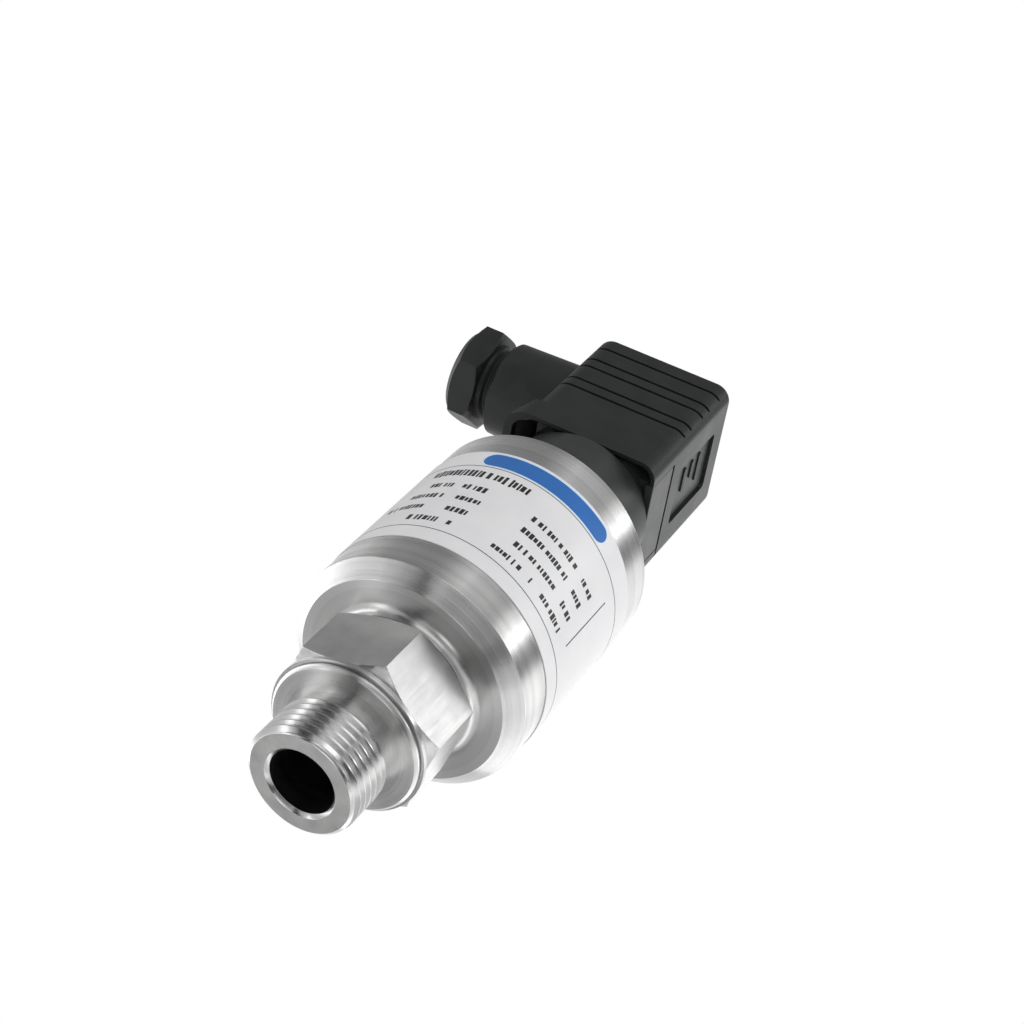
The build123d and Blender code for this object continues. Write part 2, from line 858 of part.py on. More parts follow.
def flank_grooves():
    """Fine grooves across both flanks that turn a little way round the end corners."""
    cuts = None
    wrap_start = housing_width / 2 - groove_wrap
    flank_end = housing_length / 2 - groove_end_inset
    for drop in groove_drops:
        low = housing_top - drop - groove_width / 2
        outside = block(
            housing_length + groove_depth, housing_width + groove_depth,
            low, low + groove_width, housing_corner_radius,
        )
        inside = extrude(
            Pos(0, 0, low) * housing_outline(groove_depth, 0.0), groove_width
        )
        band = outside - inside
        for side in (-1, 1):
            y_limits = sorted((side * wrap_start, side * housing_width))
            keep = box_between(
                -flank_end, housing_length, y_limits[0], y_limits[1],
                low, low + groove_width,
            )
            piece = band & keep
            cuts = piece if cuts is None else cuts + piece
    return cuts


def housing_shell():
    """Outer form of the plug: block, foot under the gland and gland neck."""
    outer = extrude(
        Pos(0, 0, plug_neck_top) * housing_outline(0.0, 0.0), housing_top - plug_neck_top
    )
    outer = fillet(outer.edges().group_by(Axis.Z)[-1], housing_top_fillet)
    outer += lobe(0.0, plug_neck_top)
    neck_radius = gland_neck_diameter / 2
    neck = along_gland(turned([
        (0, inner_length / 2),
        (neck_radius + gland_neck_draft, inner_length / 2),
        (neck_radius, gland_neck_reach - gland_neck_edge),
        (neck_radius - gland_neck_edge, gland_neck_reach),
        (0, gland_neck_reach),
    ]))
    below_top = box_between(
        -gland_neck_reach, 0, -housing_width, housing_width, plug_neck_top, housing_top
    )
    return outer + (neck & below_top)


def plug_housing():
    """Moulded housing of the plug, open below, with its cable neck."""
    shell = housing_shell()
    cavity = extrude(
        Pos(0, 0, plug_neck_top) * housing_outline(housing_wall, 0.0),
        housing_top - housing_roof - plug_neck_top,
    )
    cavity += lobe(housing_wall, plug_neck_top)
    roof_bottom = housing_top - housing_roof
    recess_diameter = centre_screw_head_diameter + 2 * screw_recess_clearance
    collar_diameter_inside = recess_diameter + 2 * screw_collar_wall
    boss = disc(centre_screw_hole + 2 * screw_boss_wall, insert_top, roof_bottom)
    seat_block = disc(collar_diameter_inside, screw_seat - housing_roof, roof_bottom)
    shell -= cavity - boss - seat_block
    shell -= disc(centre_screw_hole, insert_top, housing_top)
    shell -= disc(recess_diameter, screw_seat, housing_top)
    shell -= along_gland(disc(gland_bore_diameter, gland_seat, gland_neck_reach))
    shell -= along_gland(disc(cable_way_diameter, 0, gland_seat)) & cable_way_limit()
    shell -= extrude(
        Pos(0, 0, plug_neck_top) * housing_outline(housing_wall - housing_lead_in, 0.0),
        housing_lead_in, taper=lead_in_angle,
    )
    shell -= box_between(
        inner_length / 2, housing_length / 2, -window_width / 2, window_width / 2,
        plug_neck_top, window_top,
    )
    shell -= box_between(
        inner_length / 2, housing_length / 2, -window_width / 2, housing_width / 2,
        lip_top, window_top,
    )
    panel = RectangleRounded(panel_height, panel_width, panel_corner_radius)
    panel_middle = housing_top - panel_drop - panel_height / 2
    panel_floor = housing_length / 2 - panel_depth
    shell -= Pos(panel_floor, 0, panel_middle) * Rot(0, 90, 0) * extrude(panel, panel_depth)
    return shell - flank_grooves()


def cable_way_limit():
    """Region in which the cable way is cut, so that the screw boss stays whole."""
    return box_between(
        -gland_seat, -inner_length / 2, -housing_width / 2, housing_width / 2,
        plug_neck_top, housing_top,
    )


def centre_screw():
    """Long screw that holds the plug on its base."""
    seat = screw_seat + screw_seal_thickness
    foot = plug_neck_top + bush_overrun - centre_screw_reach
    screw = slotted_screw(
        centre_screw_diameter, seat - foot, centre_screw_head_diameter,
        centre_screw_head_height, centre_screw_slot_width, centre_screw_slot_depth,
    )
    return Pos(0, 0, seat) * screw


def screw_seal():
    """Flat seal under the head of the centre screw."""
    return ring(
        centre_screw_head_diameter, centre_screw_hole,
        screw_seat, screw_seat + screw_seal_thickness,
    )


def gland_grommet():
    """Rubber ring that grips the cable in the gland neck."""
    return along_gland(ring(
        gland_bore_diameter - 2 * grommet_fit, grommet_bore_diameter,
        gland_seat, gland_seat + grommet_length,
    ))


def gland_washer():
    """Washer between the rubber ring and the gland nut."""
    return along_gland(ring(
        gland_bore_diameter - 2 * washer_fit, washer_bore_diameter,
        washer_start, washer_start + washer_thickness,
    ))


def gland_nut():
    """Hollow compression screw with a hexagonal head."""
    shank = disc(gland_bore_diameter - 2 * gland_shank_fit, shank_start, gland_head_start)
    head = hexagon_bar(
        gland_head_across_flats, gland_head_start, gland_head_end, gland_nut_corner_angle
    )
    corner_radius = gland_head_across_flats / sqrt(3)
    flat_radius = gland_head_across_flats / 2
    slope = (corner_radius - flat_radius) * tan(radians(gland_head_slope))
    turned_down = turned([
        (0, gland_head_start),
        (flat_radius, gland_head_start),
        (corner_radius, gland_head_start + slope),
        (corner_radius, gland_head_end - slope - gland_head_chamfer),
        (flat_radius, gland_head_end - gland_head_chamfer),
        (flat_radius - gland_head_chamfer, gland_head_end),
        (0, gland_head_end),
    ])
    nut = shank + (head & turned_down)
    nut -= disc(gland_nut_bore_diameter, shank_start, gland_head_end)
    mouth_radius = gland_nut_bore_diameter / 2 + gland_nut_mouth_chamfer
    nut -= turned([
        (0, gland_head_end - gland_nut_mouth_chamfer),
        (gland_nut_bore_diameter / 2, gland_head_end - gland_nut_mouth_chamfer),
        (mouth_radius, gland_head_end),
        (0, gland_head_end),
    ])
    return along_gland(nut)


pieces = {
    "pressure_port": pressure_port,
    "body_tube": body_tube,
    "body_seal": body_seal,
    "label_wrap": label_wrap,
    "sensor_cell": sensor_cell,
    "sensor_diaphragm": sensor_diaphragm,
    "sensor_seal": sensor_seal,
    "cell_retainer": cell_retainer,
    "sensor_pins": sensor_pins,
    "board_standoffs": board_standoffs,
    "board_screws": board_screws,
    "amplifier_board": amplifier_board,
    "amplifier_chip": amplifier_chip,
    "board_capacitors": board_capacitors,
    "wire_header": wire_header,
    "signal_wires": signal_wires,
    "end_cap": end_cap,
    "cap_seal": cap_seal,
    "base_nut": base_nut,
    "base_seal": base_seal,
    "plug_base": plug_base,
    "contact_pins": contact_pins,
    "earth_pin": earth_pin,
    "thread_bush": thread_bush,
    "flat_gasket": flat_gasket,
    "plug_housing": plug_housing,
    "terminal_insert": terminal_insert,
    "socket_contacts": socket_contacts,
    "terminal_screws": terminal_screws,
    "centre_screw": centre_screw,
    "screw_seal": screw_seal,
    "gland_grommet": gland_grommet,
    "gland_washer": gland_washer,
    "gland_nut": gland_nut,
}

os.makedirs("parts", exist_ok=True)
for name, make in pieces.items():
    solid = make()
    export_step(solid, f"parts/{name}.step")
    print(name, "solids", len(solid.solids()), "volume", round(solid.volume, 1))
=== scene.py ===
"""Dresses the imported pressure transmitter: finishes, cut threads, eased edges and print.

Units are metres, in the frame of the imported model. The port's axis is Z, the cable gland
points along -X and a grooved flank of the plug faces -Y.
"""

import logging
import math
import random
from dataclasses import dataclass
from enum import Enum, IntEnum

import bpy
from mathutils import Matrix, Vector


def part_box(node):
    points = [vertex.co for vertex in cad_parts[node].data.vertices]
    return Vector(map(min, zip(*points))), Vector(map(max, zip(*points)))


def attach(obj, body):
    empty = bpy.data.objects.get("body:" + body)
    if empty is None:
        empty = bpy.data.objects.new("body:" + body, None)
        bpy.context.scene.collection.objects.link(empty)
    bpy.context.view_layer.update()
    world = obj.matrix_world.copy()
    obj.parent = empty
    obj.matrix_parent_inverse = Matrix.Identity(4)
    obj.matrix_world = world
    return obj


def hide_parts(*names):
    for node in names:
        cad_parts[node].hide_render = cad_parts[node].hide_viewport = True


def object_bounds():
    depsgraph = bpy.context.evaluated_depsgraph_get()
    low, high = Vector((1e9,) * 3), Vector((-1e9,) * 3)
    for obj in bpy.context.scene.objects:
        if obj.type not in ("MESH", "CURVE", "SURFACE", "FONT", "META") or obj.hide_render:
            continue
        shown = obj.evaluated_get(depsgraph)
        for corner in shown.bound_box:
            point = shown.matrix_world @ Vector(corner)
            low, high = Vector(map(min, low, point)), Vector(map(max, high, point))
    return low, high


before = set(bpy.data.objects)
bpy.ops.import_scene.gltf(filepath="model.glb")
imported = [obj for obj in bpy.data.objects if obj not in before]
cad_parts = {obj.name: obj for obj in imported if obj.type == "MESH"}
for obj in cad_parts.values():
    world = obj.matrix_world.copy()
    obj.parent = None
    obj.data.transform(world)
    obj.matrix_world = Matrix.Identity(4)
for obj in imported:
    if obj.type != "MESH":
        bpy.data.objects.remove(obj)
cad_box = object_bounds()

Triple = tuple[float, float, float]

MM = 0.001
WHITE = (1.0, 1.0, 1.0, 1.0)
log = logging.getLogger("transmitter")


class Body(Enum):
    """The bodies that pieces ride on."""

    TRANSMITTER = "transmitter"
    WASHER = "pressure_washer"
    SCREW = "compression_screw"


class PortFace(IntEnum):
    """Material slots of the dressed port."""

    TURNED = 0
    MILLED = 1
    THREAD = 2
    # The tip's finish is darker faced steel, partly painted shade.
    TIP = 3
    # The bore's finish is painted shade, near black.
    BORE = 4


class Bench:
    """Modelling steps with Blender's operators, mostly on one piece selected alone."""

    merge_distance: float = 0.0005 * MM
    flat_angle: float = math.radians(0.4)
    edge_angle: float = math.radians(32.0)
    smooth_angle: float = math.radians(30.0)

    @staticmethod
    def pick(piece: bpy.types.Object) -> None:
        """Select one piece, alone, in object mode.

        Args:
            piece: The piece to work on.
        """
        if bpy.context.mode != "OBJECT":
            bpy.ops.object.mode_set(mode="OBJECT")
        bpy.ops.object.select_all(action="DESELECT")
        piece.select_set(True)
        bpy.context.view_layer.objects.active = piece

    @staticmethod
    def name_new(name: str) -> bpy.types.Object:
        """Name the piece that a primitive operator has just added.

        Args:
            name: Name for the object and its mesh.

        Returns:
            The new piece.
        """
        piece = bpy.context.active_object
        piece.name = name
        piece.data.name = name
        return piece

    @staticmethod
    def add_plane(name: str, size: float = 1.0, **place: Triple) -> bpy.types.Object:
        """Add a square plane.

        Args:
            name: Name of the new piece.
            size: Side of the square, in metres.
            place: Its location or rotation, as the operator names them.

        Returns:
            The new piece.
        """
        bpy.ops.object.select_all(action="DESELECT")
        bpy.ops.mesh.primitive_plane_add(size=size, **place)
        return Bench.name_new(name)

    @staticmethod
    def open_mesh() -> None:
        """Enter edit mode with the whole mesh selected."""
        bpy.ops.object.mode_set(mode="EDIT")
        bpy.ops.mesh.select_all(action="SELECT")

    @staticmethod
    def close_mesh() -> None:
        """Leave edit mode."""
        bpy.ops.object.mode_set(mode="OBJECT")

    @staticmethod
    def settle(piece: bpy.types.Object) -> None:
        """Move a piece's place and turn into its mesh."""
        Bench.pick(piece)
        bpy.ops.object.transform_apply(location=True, rotation=True, scale=True)

    @staticmethod
    def finish_modifiers(piece: bpy.types.Object) -> None:
        """Apply a piece's modifiers in order.

        Args:
            piece: The piece to work on.
        """
        Bench.pick(piece)
        for modifier in list(piece.modifiers):
            bpy.ops.object.modifier_apply(modifier=modifier.name)

    @staticmethod
    def point_outwards(piece: bpy.types.Object) -> None:
        """Merge doubled points and turn every face outwards.

        Args:
            piece: The closed shell to work on.
        """
        Bench.pick(piece)
        Bench.open_mesh()
        bpy.ops.mesh.remove_doubles(threshold=Bench.merge_distance)
        bpy.ops.mesh.normals_make_consistent(inside=False)
        Bench.close_mesh()

    @staticmethod
    def smooth(piece: bpy.types.Object) -> None:
        """Shade a piece smooth, with sharp edges kept and broad faces left flat.

        Args:
            piece: The piece to work on.
        """
        Bench.pick(piece)
        bpy.ops.object.shade_smooth_by_angle(angle=Bench.smooth_angle)
        even = piece.modifiers.new("even", "WEIGHTED_NORMAL")
        even.keep_sharp = True
        Bench.finish_modifiers(piece)

    @staticmethod
    def copy_of(node: str, name: str) -> bpy.types.Object:
        """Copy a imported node, with its loose triangles merged into whole faces.

        Args:
            node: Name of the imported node.
            name: Name of the new piece.

        Returns:
            The new piece, which isn't on a body yet.
        """
        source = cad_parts[node]
        piece = bpy.data.objects.new(name, source.data.copy())
        piece.data.name = name
        piece.data.materials.clear()
        bpy.context.scene.collection.objects.link(piece)
        Bench.pick(piece)
        bpy.ops.mesh.customdata_custom_splitnormals_clear()
        Bench.open_mesh()
        bpy.ops.mesh.remove_doubles(threshold=Bench.merge_distance)
        bpy.ops.mesh.dissolve_limited(angle_limit=Bench.flat_angle)
        Bench.close_mesh()
        return piece

    @staticmethod
    def ease_edges(piece: bpy.types.Object, width: float, steps: int = 2) -> None:
        """Round every sharp edge a little, as deburring or a mould does.

        Args:
            piece: The piece to work on.
            width: Width of the rounding, in metres.
            steps: Faces across the rounding.
        """
        bevel = piece.modifiers.new("eased", "BEVEL")
        bevel.width = width
        bevel.segments = steps
        bevel.limit_method = "ANGLE"
        bevel.angle_limit = Bench.edge_angle
        bevel.use_clamp_overlap = True
        Bench.finish_modifiers(piece)

    @staticmethod
    def cut(piece: bpy.types.Object, cutter: bpy.types.Object) -> None:
        """Cut one solid out of another and remove the cutter.

        Args:
            piece: The solid that is cut.
            cutter: The solid that is taken away.
        """
        boolean = piece.modifiers.new("cut", "BOOLEAN")
        boolean.operation = "DIFFERENCE"
        boolean.solver = "EXACT"
        boolean.object = cutter
        Bench.finish_modifiers(piece)
        bpy.data.objects.remove(cutter)

    @staticmethod
    def join(pieces: list[bpy.types.Object], name: str) -> bpy.types.Object:
        """Join pieces into one.

        Args:
            pieces: The pieces to join.
            name: Name of the joined piece.

        Returns:
            The joined piece.
        """
        Bench.pick(pieces[0])
        for piece in pieces[1:]:
            piece.select_set(True)
        bpy.ops.object.join()
        return Bench.name_new(name)


@dataclass(frozen=True)
class Shader:
    """A node material under construction."""

    material: bpy.types.Material
    cloud_low: float = 0.3
    cloud_high: float = 0.7

    @classmethod
    def start(cls, name: str) -> "Shader":
        """Make a material with its surface shader alone.

        Args:
            name: Name of the material.

        Returns:
            The material under construction.
        """
        material = bpy.data.materials.new(name)
        material.use_nodes = True
        return cls(material)

    @property
    def surface(self) -> bpy.types.Node:
        """The material's surface shader."""
        return self.material.node_tree.nodes["Principled BSDF"]

    def node(self, kind: str, **settings: object) -> bpy.types.Node:
        """Add a node.

        Args:
            kind: Blender's name for the node type.
            settings: Properties to set on the node.

        Returns:
            The new node.
        """
        made = self.material.node_tree.nodes.new(kind)
        for key, value in settings.items():
            setattr(made, key, value)
        return made

    def link(self, source: bpy.types.NodeSocket, target: bpy.types.NodeSocket) -> None:
        """Join two sockets."""
        self.material.node_tree.links.new(source, target)

    def set(self, **values: object) -> None:
        """Set sockets of the surface shader.

        Args:
            values: New values, each under its socket's name with _ for the spaces.
        """
        for key, value in values.items():
            self.surface.inputs[key.replace("_", " ")].default_value = value

    def place(self) -> bpy.types.NodeSocket:
        """Place on the object, in metres."""
        return self.node("ShaderNodeTexCoord").outputs["Object"]

    def scaled(
        self, place: bpy.types.NodeSocket, factors: Triple, centre: Triple = (0.0, 0.0, 0.0),
    ) -> bpy.types.NodeSocket:
        """Stretch a place about a centre.

        Args:
            place: Place on the object.
            factors: Factors along X, Y and Z.
            centre: The point that goes to the origin.

        Returns:
            The stretched place.
        """
        mapping = self.node("ShaderNodeMapping", vector_type="POINT")
        mapping.inputs["Location"].default_value = [
            -middle * factor for middle, factor in zip(centre, factors)
        ]
        mapping.inputs["Scale"].default_value = factors
        self.link(place, mapping.inputs["Vector"])
        return mapping.outputs["Vector"]

    def noise(
        self, place: bpy.types.NodeSocket, scale: float, detail: float = 2.0,
    ) -> bpy.types.NodeSocket:
        """Make a cloudy value from 0 to 1.

        Args:
            place: Place on the object.
            scale: Clouds to a metre.
            detail: Steps of finer clouds within the clouds.

        Returns:
            The value.
        """
        made = self.node("ShaderNodeTexNoise")
        made.inputs["Scale"].default_value = scale
        made.inputs["Detail"].default_value = detail
        self.link(place, made.inputs["Vector"])
        return made.outputs["Fac"]

    def spread(
        self, value: bpy.types.NodeSocket, low: float, high: float,
    ) -> bpy.types.NodeSocket:
        """Map a cloudy value to a range.

        Args:
            value: The cloudy value.
            low: Lowest result.
            high: Highest result.

        Returns:
            The mapped value.
        """
        made = self.node("ShaderNodeMapRange")
        made.inputs["From Min"].default_value = self.cloud_low
        made.inputs["From Max"].default_value = self.cloud_high
        made.inputs["To Min"].default_value = low
        made.inputs["To Max"].default_value = high
        self.link(value, made.inputs["Value"])
        return made.outputs["Result"]

    def tint(self, value: bpy.types.NodeSocket, dark: Triple, light: Triple) -> None:
        """Let a cloudy value choose between two base colours.

        Args:
            value: The cloudy value.
            dark: Colour where it is low.
            light: Colour where it is high.
        """
        ramp = self.node("ShaderNodeValToRGB")
        stops = zip(
            ramp.color_ramp.elements, (self.cloud_low, self.cloud_high), (dark, light)
        )
        for stop, position, colour in stops:
            stop.position = position
            stop.color = (*colour, 1.0)
        self.link(value, ramp.inputs["Fac"])
        self.link(ramp.outputs["Color"], self.surface.inputs["Base Color"])

    def relief(self, height: bpy.types.NodeSocket, depth: float) -> None:
        """Raise the surface where a cloudy value is high.

        Args:
            height: The cloudy value.
            depth: Height at the value 1, in metres.
        """
        bump = self.node("ShaderNodeBump")
        bump.inputs["Distance"].default_value = depth
        self.link(height, bump.inputs["Height"])
        self.link(bump.outputs["Normal"], self.surface.inputs["Normal"])

    def turned_place(
        self, centre: Triple = (0.0, 0.0, 0.0), axis: str = "Z",
    ) -> bpy.types.NodeSocket:
        """Make a place of radius and height, on which turning marks are rings.

        Args:
            centre: A point on the axis of the turning.
            axis: Name of that axis.

        Returns:
            The place.
        """
        centred = self.scaled(self.place(), (1.0, 1.0, 1.0), centre)
        parts = self.node("ShaderNodeSeparateXYZ")
        self.link(centred, parts.inputs["Vector"])
        across = [name for name in "XYZ" if name != axis]
        flat = self.node("ShaderNodeCombineXYZ")
        self.link(parts.outputs[across[0]], flat.inputs["X"])
        self.link(parts.outputs[across[1]], flat.inputs["Y"])
        length = self.node("ShaderNodeVectorMath", operation="LENGTH")
        self.link(flat.outputs["Vector"], length.inputs[0])
        joined = self.node("ShaderNodeCombineXYZ")
        self.link(length.outputs["Value"], joined.inputs["X"])
        self.link(parts.outputs[axis], joined.inputs["Z"])
        return joined.outputs["Vector"]


@dataclass(frozen=True)
class TurnedMetal:
    """Bright metal with fine rings left by the lathe."""

    name: str
    dark: Triple = (0.49, 0.49, 0.49)
    light: Triple = (0.67, 0.67, 0.665)
    roughness: float = 0.3
    roughness_spread: float = 0.08
    stretch: float = 0.88
    stretch_turn: float = 0.25
    ring_scale: float = 5200.0
    ring_detail: float = 3.0
    ring_depth: float = 0.0011 * MM
    cloud_share: float = 0.12
    axis: str = "Z"
    centre: Triple = (0.0, 0.0, 0.0)

    def make(self) -> bpy.types.Material:
        """Build the finish.

        Returns:
            Its material.
        """
        shader = Shader.start(self.name)
        shader.set(
            Metallic=1.0, Anisotropic=self.stretch, Anisotropic_Rotation=self.stretch_turn
        )
        tangent = shader.node("ShaderNodeTangent", direction_type="RADIAL", axis=self.axis)
        shader.link(tangent.outputs["Tangent"], shader.surface.inputs["Tangent"])
        rings = shader.turned_place(self.centre, self.axis)
        fine = shader.noise(rings, self.ring_scale, self.ring_detail)
        broad = shader.noise(rings, self.ring_scale * self.cloud_share)
        shader.tint(broad, self.dark, self.light)
        low = self.roughness - self.roughness_spread / 2
        spread = shader.spread(fine, low, low + self.roughness_spread)
        shader.link(spread, shader.surface.inputs["Roughness"])
        shader.relief(fine, self.ring_depth)
        return shader.material


@dataclass(frozen=True)
class MilledMetal:
    """Flat metal faces with fine straight cutter marks along one direction."""

    name: str
    dark: Triple = (0.52, 0.52, 0.52)
    light: Triple = (0.62, 0.62, 0.615)
    roughness: float = 0.34
    marks: Triple = (1800.0, 1800.0, 160.0)
    roughness_spread: float = 0.1
    mark_depth: float = 0.0012 * MM
    cloud_scale: float = 260.0
    detail: float = 3.0

    def make(self) -> bpy.types.Material:
        """Build the finish.

        Returns:
            Its material.
        """
        shader = Shader.start(self.name)
        shader.set(Metallic=1.0)
        place = shader.place()
        marks = shader.noise(shader.scaled(place, self.marks), 1.0, self.detail)
        cloud = shader.noise(place, self.cloud_scale, self.detail)
        shader.tint(cloud, self.dark, self.light)
        half = self.roughness_spread / 2
        spread = shader.spread(marks, self.roughness - half, self.roughness + half)
        shader.link(spread, shader.surface.inputs["Roughness"])
        shader.relief(marks, self.mark_depth)
        return shader.material


@dataclass(frozen=True)
class Moulded:
    """Moulded plastic, rubber or resin with a fine grain."""

    name: str
    dark: Triple
    light: Triple
    roughness: float = 0.42
    roughness_spread: float = 0.08
    grain_scale: float = 3800.0
    grain_depth: float = 0.006 * MM
    gloss: float = 0.5
    grain_detail: float = 3.0
    cloud_share: float = 0.07
    cloud_detail: float = 4.0

    def make(self) -> bpy.types.Material:
        """Build the finish.

        Returns:
            Its material.
        """
        shader = Shader.start(self.name)
        shader.set(Specular_IOR_Level=self.gloss)
        place = shader.place()
        grain = shader.noise(place, self.grain_scale, self.grain_detail)
        cloud = shader.noise(place, self.grain_scale * self.cloud_share, self.cloud_detail)
        shader.tint(cloud, self.dark, self.light)
        low = self.roughness - self.roughness_spread / 2
        spread = shader.spread(cloud, low, low + self.roughness_spread)
        shader.link(spread, shader.surface.inputs["Roughness"])
        shader.relief(grain, self.grain_depth)
        return shader.material


class Finishes:
    """Every finish of the transmitter, each built once."""

    def __init__(self) -> None:
        """Build the materials."""
        gland_low, gland_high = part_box("gland_nut")
        gland_centre = tuple((gland_low + gland_high) / 2)
        plated = {
            "dark": (0.6, 0.61, 0.62), "light": (0.74, 0.75, 0.76), "roughness": 0.26,
            "stretch": 0.0,
        }
        film = {"grain_scale": 2600.0, "grain_depth": 0.001 * MM}
        ink = {"roughness_spread": 0.06, **film}
        self.steel = TurnedMetal("turned_steel").make()
        self.milled = MilledMetal("milled_steel").make()
        self.thread_steel = TurnedMetal("thread_steel", roughness=0.24, stretch=0.7).make()
        # The tip's faced steel: its coarse facing marks are real, its darker tone is painted
        # shade.
        self.faced_with_painted_shade = MilledMetal(
            "faced_steel_painted_shade", (0.34, 0.34, 0.34), (0.46, 0.46, 0.455), 0.42, (900.0, 900.0, 900.0)
        ).make()
        # Painted shade: the bore's steel is coloured near black for the shade inside the hole.
        self.bore_painted_shade = TurnedMetal(
            "bored_steel_painted_shade", (0.05, 0.05, 0.05), (0.09, 0.09, 0.088), 0.38, stretch=0.6
        ).make()
        self.plated = TurnedMetal("plated_steel", **plated).make()
        self.washer = TurnedMetal(
            "plated_washer", **plated, axis="X", centre=gland_centre
        ).make()
        self.brass = MilledMetal(
            "contact_brass", (0.66, 0.46, 0.2), (0.78, 0.58, 0.28), 0.28
        ).make()
        self.can = MilledMetal("can_aluminium", (0.7, 0.7, 0.71), (0.8, 0.8, 0.81), 0.3).make()
        self.housing = Moulded(
            "plug_plastic", (0.011, 0.0125, 0.0122), (0.0175, 0.0195, 0.019), 0.48, gloss=0.36
        ).make()
        # Painted light: a lighter copy of the plug's black plastic for the end face turned to
        # +X; its coarser grain is real.
        self.end_face_painted_light = Moulded(
            "eroded_plastic_painted_light", (0.026, 0.0285, 0.028), (0.04, 0.043, 0.042), 0.46,
            roughness_spread=0.1, grain_scale=2400.0, grain_depth=0.012 * MM,
        ).make()
        self.inner_plastic = Moulded(
            "block_plastic", (0.022, 0.0245, 0.024), (0.032, 0.0345, 0.034), 0.42,
            roughness_spread=0.1, grain_scale=3000.0,
        ).make()
        self.rubber = Moulded(
            "seal_rubber", (0.014, 0.014, 0.014), (0.026, 0.026, 0.026), 0.62
        ).make()
        self.film = Moulded(
            "label_film", (0.76, 0.76, 0.775), (0.8, 0.8, 0.81), 0.4,
            roughness_spread=0.1, **film,
        ).make()
        self.blue_ink = Moulded(
            "blue_ink", (0.036, 0.15, 0.45), (0.042, 0.168, 0.49), 0.36, gloss=0.12, **ink
        ).make()
        self.pale_ink = Moulded(
            "pale_ink", (0.62, 0.76, 0.92), (0.68, 0.8, 0.94), 0.36, **ink
        ).make()
        self.dark_ink = Moulded(
            "dark_ink", (0.009, 0.009, 0.01), (0.02, 0.02, 0.021), 0.42, **ink
        ).make()
        self.board = Moulded("board_resist", (0.02, 0.13, 0.05), (0.03, 0.17, 0.07), 0.35).make()
        self.chip = Moulded("chip_resin", (0.02, 0.02, 0.02), (0.03, 0.03, 0.03), 0.55).make()
        self.wire = Moulded("wire_sheath", (0.42, 0.03, 0.02), (0.5, 0.045, 0.03), 0.4).make()


@dataclass
class ThreadCutter:
    """The winding groove of a right-hand thread, wound up the Z axis."""

    major_radius: float
    pitch: float
    depth: float
    start: float
    turns: int
    steps: int = 72
    overlap: float = 0.04 * MM
    crest_parts: int = 8
    root_parts: int = 5
    flank_angle: float = 30.0

    def make(self) -> bpy.types.Object:
        """Wind the groove.

        Returns:
            A closed winding solid to cut out of the blank.
        """
        crest = self.pitch / self.crest_parts
        flank = math.tan(math.radians(self.flank_angle))
        outer_width = self.pitch - crest + 2 * self.overlap * flank
        root_width = self.pitch / self.root_parts
        reach = self.depth + self.overlap
        middle = self.major_radius + self.overlap - reach / 2
        groove = Bench.add_plane("thread_groove", rotation=(math.pi / 2, 0.0, 0.0))
        groove.location = (middle, 0.0, self.start)
        groove.scale = (reach, outer_width, 1.0)
        Bench.settle(groove)
        bpy.ops.object.mode_set(mode="EDIT")
        bpy.ops.mesh.select_all(action="DESELECT")
        Bench.close_mesh()
        for point in groove.data.vertices:
            point.select = point.co.x < middle
        bpy.ops.object.mode_set(mode="EDIT")
        bpy.ops.transform.resize(value=(1.0, 1.0, root_width / outer_width))
        bpy.ops.mesh.select_all(action="SELECT")
        bpy.ops.mesh.delete(type="ONLY_FACE")
        Bench.close_mesh()
        screw = groove.modifiers.new("wound", "SCREW")
        screw.axis = "Z"
        screw.angle = math.tau
        screw.screw_offset = self.pitch
        screw.iterations = self.turns
        screw.steps = self.steps
        screw.render_steps = self.steps
        screw.use_merge_vertices = False
        Bench.finish_modifiers(groove)
        Bench.open_mesh()
        bpy.ops.mesh.remove_doubles(threshold=Bench.merge_distance)
        bpy.ops.mesh.fill_holes(sides=4)
        bpy.ops.mesh.select_all(action="SELECT")
        bpy.ops.mesh.normals_make_consistent(inside=False)
        Bench.close_mesh()
        return groove


